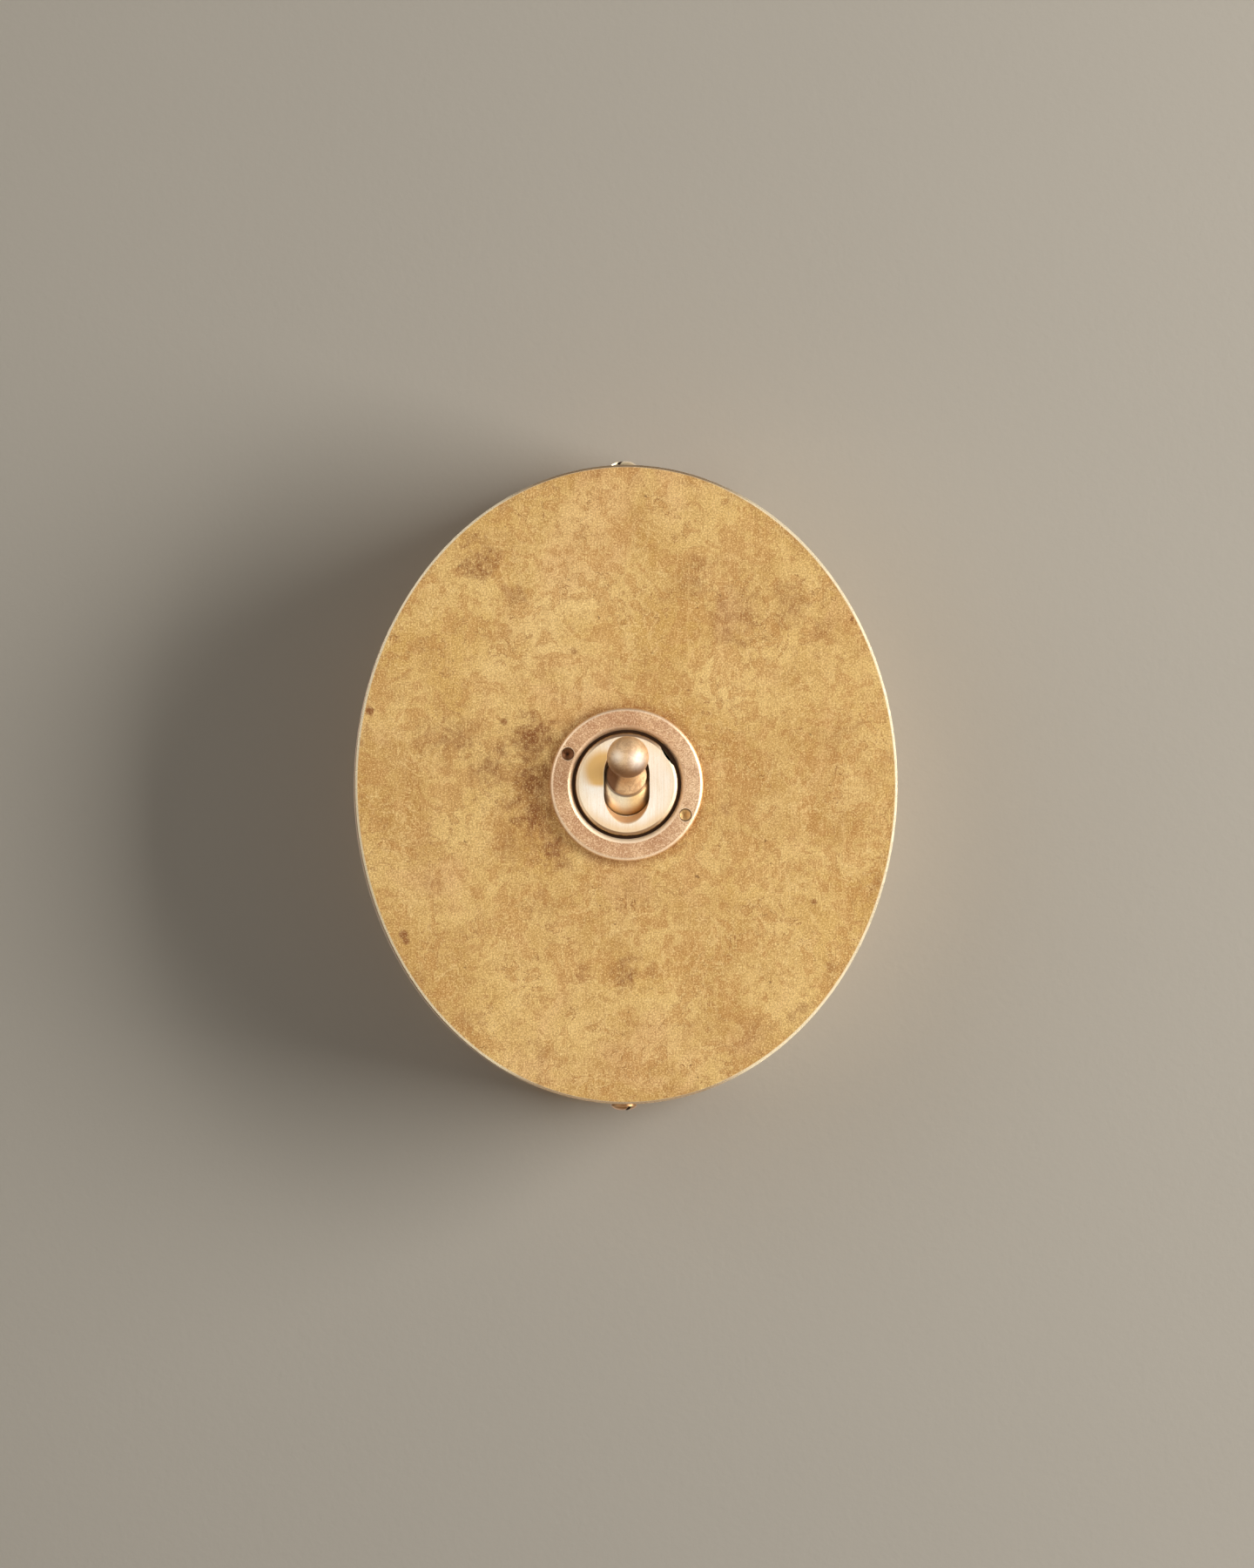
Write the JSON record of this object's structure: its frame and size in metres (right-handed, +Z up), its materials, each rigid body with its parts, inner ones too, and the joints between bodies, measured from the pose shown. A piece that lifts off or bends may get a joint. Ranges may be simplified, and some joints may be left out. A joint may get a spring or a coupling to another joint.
{
  "type": "dolly light switch",
  "caption": "Wall light switch: turned ball-ended dolly in a slotted bush and ring nut, on a deep oval cover over a steel wall bracket.",
  "frame": {"origin": "in the wall plane, on the axis of the switch, midway between the two wall screws", "axes": "+Z up, -Y out of the wall towards the room, +X to the right as seen from the room"},
  "size_m": [0.104, 0.0591, 0.125],
  "materials": {
    "aged_brass": "satin, unlacquered, mottled with handling",
    "ring_brass": "fine bead-blasted satin",
    "brushed_brass": "brushed straight up and down",
    "dolly_brass": "turned and polished, a little worn",
    "nut_brass": "machined",
    "turned_brass": "machined",
    "contact_brass": "rolled and pressed",
    "screw_brass": "aged satin",
    "silver": "bright silver contact",
    "pin_steel": "ground",
    "spring_steel": "drawn wire",
    "zinc_steel": "zinc plated",
    "terminal_steel": "nickel plated",
    "bracket_steel": "zinc plated, folded from strip",
    "body_moulding": "dark brown thermoset moulding",
    "base_moulding": "dark brown thermoset moulding",
    "nylon": "natural nylon"
  },
  "bodies": {
    "mounting": {"cover": "aged_brass", "ring_nut": "ring_brass", "bush": "brushed_brass", "lock_washer": "zinc_steel", "rear_nut": "nut_brass", "pivot_pin": "pin_steel", "common_saddle": "contact_brass", "upper_contact_strip": "contact_brass", "lower_contact_strip": "contact_brass", "fixed_contacts": "silver", "switch_body": "body_moulding", "terminal_base": "base_moulding", "body_screws": "zinc_steel", "common_terminal": "turned_brass", "upper_terminal": "turned_brass", "lower_terminal": "turned_brass", "terminal_screws": "terminal_steel", "mounting_bracket": "bracket_steel", "top_cover_screw": "screw_brass", "bottom_cover_screw": "screw_brass", "earth_washer": "nut_brass", "earth_screw": "screw_brass"},
    "dolly": {"dolly": "dolly_brass", "actuator": "nylon"},
    "plunger": {"plunger": "turned_brass", "plunger_spring": "spring_steel"},
    "rocker": {"rocker": "contact_brass", "moving_contacts": "silver"}
  },
  "joints": [
    {"name": "dolly", "type": "hinge", "parent": "mounting", "child": "dolly", "pos_m": [0, -0.036, 0], "axis": [1, 0, 0], "range_deg": [0, 30]},
    {"name": "plunger", "type": "slide", "parent": "dolly", "child": "plunger", "axis": [0, -0.9659, 0.2588], "range_m": [0, 0.0006], "stiffness_N_per_m": 600, "springref_m": -0.001, "deforming": ["plunger_spring"]},
    {"name": "rocker", "type": "hinge", "parent": "mounting", "child": "rocker", "pos_m": [0, -0.0223, 0], "axis": [1, 0, 0], "range_deg": [-15, 0]}
  ],
  "couplings": [
    {"joint": "rocker", "follows": "dolly", "ratio": -0.5}
  ]
}
